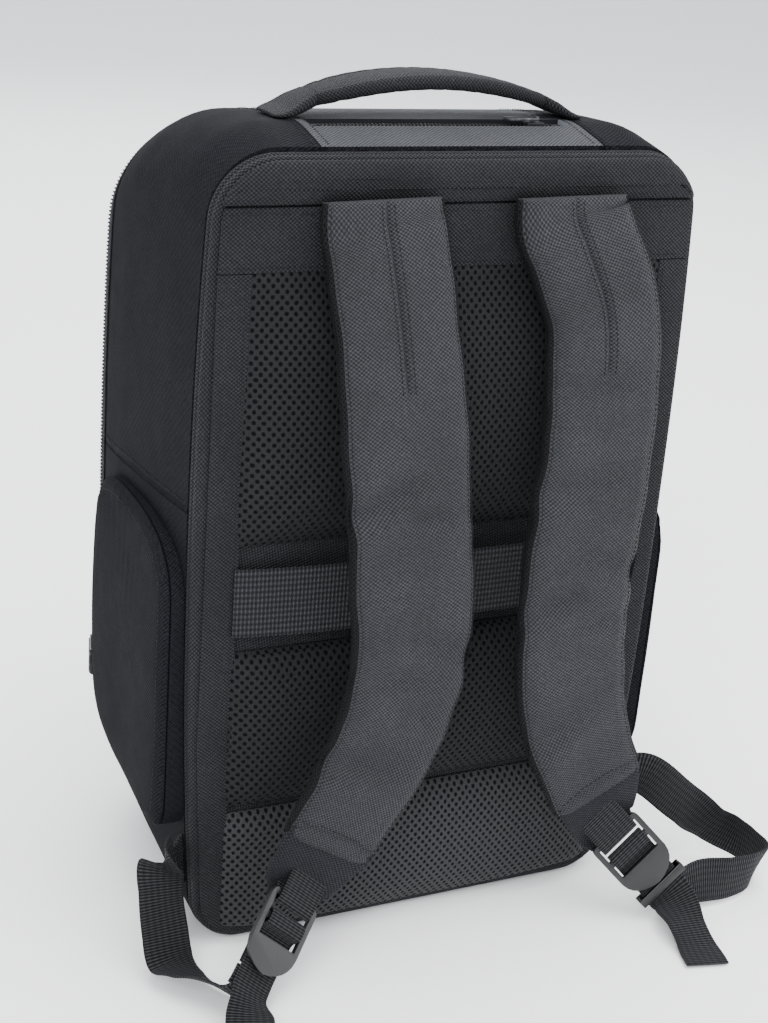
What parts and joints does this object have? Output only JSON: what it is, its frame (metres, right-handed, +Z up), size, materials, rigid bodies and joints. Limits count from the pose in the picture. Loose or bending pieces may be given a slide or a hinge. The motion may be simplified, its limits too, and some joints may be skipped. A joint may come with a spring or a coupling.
{
  "type": "drone carrying case",
  "caption": "Backpack-style padded carrying case for a camera drone, with shoulder straps, carry handle, zipped front lid, side pockets and padded divider cells.",
  "frame": {"origin": "centre of the flat underside, on the surface it stands on", "axes": "+Z up; -Y towards the wearer's back, the side with the shoulder straps; +Y towards the zipped front lid; +X towards the wearer's right as seen from that side"},
  "size_m": [0.4374, 0.3461, 0.5311],
  "materials": {
    "shell_fabric": "smooth dark twill over foam",
    "panel_fabric": "charcoal ballistic weave",
    "strap_fabric": "grey ballistic weave",
    "air_mesh": "black spacer mesh",
    "webbing": "black woven webbing",
    "zip_tape": "black coil zipper tape",
    "lining": "grey brushed lining",
    "foam": "grey foam sheet",
    "board": "plain sheet",
    "buckle_plastic": "satin moulded",
    "zip_metal": "satin black coated"
  },
  "bodies": {
    "case": {"body_shell": "shell_fabric", "lid_hinge_strip": "panel_fabric", "main_zip_tape_body": "zip_tape", "back_frame": "panel_fabric", "back_board": "board", "back_pad_core": "foam", "back_piping": "panel_fabric", "top_pad": "panel_fabric", "yoke_strip": "panel_fabric", "binding_left": "panel_fabric", "binding_right": "panel_fabric", "upper_back_pad": "air_mesh", "lumbar_pad": "air_mesh", "lower_back_pad": "air_mesh", "luggage_strap": "webbing", "handle_end_left": "panel_fabric", "handle_end_right": "panel_fabric", "sleeve_divider": "lining", "divider_lower": "lining", "divider_upper": "lining", "divider_lower_upright": "lining", "divider_upper_upright": "lining", "top_zip_tape": "zip_tape", "slack_webbing_left": "webbing", "corner_tab_left": "panel_fabric", "pocket_gusset_left": "shell_fabric", "slack_webbing_right": "webbing", "corner_tab_right": "panel_fabric", "pocket_gusset_right": "shell_fabric"},
    "lid": {"lid_shell": "shell_fabric", "main_zip_tape_lid": "zip_tape", "lid_mesh_pocket": "air_mesh"},
    "front_pocket": {"front_pocket_cover": "panel_fabric"},
    "handle": {"handle_grip": "panel_fabric"},
    "strap_left": {"strap_pad_left": "strap_fabric", "strap_end_left": "strap_fabric", "buckle_webbing_left": "webbing"},
    "strap_right": {"strap_pad_right": "strap_fabric", "strap_end_right": "strap_fabric", "buckle_webbing_right": "webbing"},
    "buckle_left": {"ladder_lock_left": "buckle_plastic", "webbing_tail_left": "webbing"},
    "buckle_right": {"ladder_lock_right": "buckle_plastic", "webbing_tail_right": "webbing", "webbing_keeper": "buckle_plastic"},
    "side_pocket_left": {"pocket_cover_left": "shell_fabric"},
    "side_pocket_right": {"pocket_cover_right": "shell_fabric"},
    "main_left_zip": {"main_left_slider": "zip_metal"},
    "main_left_pull_tab": {"main_left_puller": "zip_metal"},
    "main_right_zip": {"main_right_slider": "zip_metal"},
    "main_right_pull_tab": {"main_right_puller": "zip_metal"},
    "sleeve_zip": {"sleeve_slider": "zip_metal"},
    "sleeve_pull_tab": {"sleeve_puller": "zip_metal"},
    "pocket_left_zip": {"pocket_left_slider": "zip_metal"},
    "pocket_left_pull_tab": {"pocket_left_puller": "zip_metal"},
    "pocket_right_zip": {"pocket_right_slider": "zip_metal"},
    "pocket_right_pull_tab": {"pocket_right_puller": "zip_metal"},
    "front_pocket_zip": {"front_pocket_slider": "zip_metal"},
    "front_pocket_pull_tab": {"front_pocket_puller": "zip_metal"}
  },
  "joints": [
    {"name": "lid_fold", "type": "hinge", "parent": "case", "child": "lid", "pos_m": [0, 0.0955, 0.062], "axis": [-1, 0, 0], "range_deg": [0, 95]},
    {"name": "front_pocket_fold", "type": "hinge", "parent": "lid", "child": "front_pocket", "pos_m": [0, 0.0953, 0.092], "axis": [-1, 0, 0], "range_deg": [0, 30]},
    {"name": "handle_rock", "type": "hinge", "parent": "case", "child": "handle", "pos_m": [0, -0.027, 0.5155], "axis": [1, 0, 0], "range_deg": [-20, 14], "stiffness_Nm_per_rad": 0.4},
    {"name": "strap_swing_left", "type": "hinge", "parent": "case", "child": "strap_left", "pos_m": [-0.06, -0.1013, 0.4725], "axis": [-1, 0, 0], "range_deg": [0, 20], "deforming": ["slack_webbing_left"]},
    {"name": "strap_swing_right", "type": "hinge", "parent": "case", "child": "strap_right", "pos_m": [0.06, -0.1013, 0.4725], "axis": [-1, 0, 0], "range_deg": [0, 20], "deforming": ["slack_webbing_right"]},
    {"name": "buckle_tilt_left", "type": "hinge", "parent": "strap_left", "child": "buckle_left", "pos_m": [-0.105, -0.148, 0.0585], "axis": [-0.7399, 0, 0.6727], "range_deg": [0, 35]},
    {"name": "buckle_tilt_right", "type": "hinge", "parent": "strap_right", "child": "buckle_right", "pos_m": [0.122, -0.146, 0.0605], "axis": [-0.7486, 0, -0.663], "range_deg": [0, 35]},
    {"name": "pocket_fold_left", "type": "hinge", "parent": "case", "child": "side_pocket_left", "pos_m": [-0.168, 0, 0.079], "axis": [0, -1, 0], "range_deg": [0, 30]},
    {"name": "pocket_fold_right", "type": "hinge", "parent": "case", "child": "side_pocket_right", "pos_m": [0.168, 0, 0.079], "axis": [0, 1, 0], "range_deg": [0, 30]},
    {"name": "main_left_zip_travel", "type": "slide", "parent": "case", "child": "main_left_zip", "axis": [-1, 0, 0], "range_m": [0, 0.08]},
    {"name": "main_left_pull_tab_flip", "type": "hinge", "parent": "main_left_zip", "child": "main_left_pull_tab", "pos_m": [-0.008, 0.07812, 0.48793], "axis": [0, 0.8087, -0.5882], "range_deg": [0, 150]},
    {"name": "main_right_zip_travel", "type": "slide", "parent": "case", "child": "main_right_zip", "axis": [1, 0, 0], "range_m": [0, 0.08]},
    {"name": "main_right_pull_tab_flip", "type": "hinge", "parent": "main_right_zip", "child": "main_right_pull_tab", "pos_m": [0.008, 0.07812, 0.48793], "axis": [0, -0.8087, 0.5882], "range_deg": [0, 150]},
    {"name": "sleeve_zip_travel", "type": "slide", "parent": "case", "child": "sleeve_zip", "axis": [-1, 0, 0], "range_m": [0, 0.125]},
    {"name": "sleeve_pull_tab_flip", "type": "hinge", "parent": "sleeve_zip", "child": "sleeve_pull_tab", "pos_m": [0.062, -0.0495, 0.5071], "axis": [0, 1, 0], "range_deg": [0, 150]},
    {"name": "pocket_left_zip_travel", "type": "slide", "parent": "case", "child": "pocket_left_zip", "axis": [0, 0, 1], "range_m": [0, 0.065]},
    {"name": "pocket_left_pull_tab_flip", "type": "hinge", "parent": "pocket_left_zip", "child": "pocket_left_pull_tab", "pos_m": [-0.168, 0.0647, 0.142], "axis": [1, 0, 0], "range_deg": [0, 120]},
    {"name": "pocket_right_zip_travel", "type": "slide", "parent": "case", "child": "pocket_right_zip", "axis": [0, 0, 1], "range_m": [0, 0.065]},
    {"name": "pocket_right_pull_tab_flip", "type": "hinge", "parent": "pocket_right_zip", "child": "pocket_right_pull_tab", "pos_m": [0.168, 0.0647, 0.142], "axis": [1, 0, 0], "range_deg": [0, 120]},
    {"name": "front_pocket_zip_travel", "type": "slide", "parent": "front_pocket", "child": "front_pocket_zip", "axis": [-1, 0, 0], "range_m": [0, 0.15]},
    {"name": "front_pocket_pull_tab_flip", "type": "hinge", "parent": "front_pocket_zip", "child": "front_pocket_pull_tab", "pos_m": [0.08, 0.101, 0.3047], "axis": [0, 1, 0], "range_deg": [0, 150]}
  ]
}
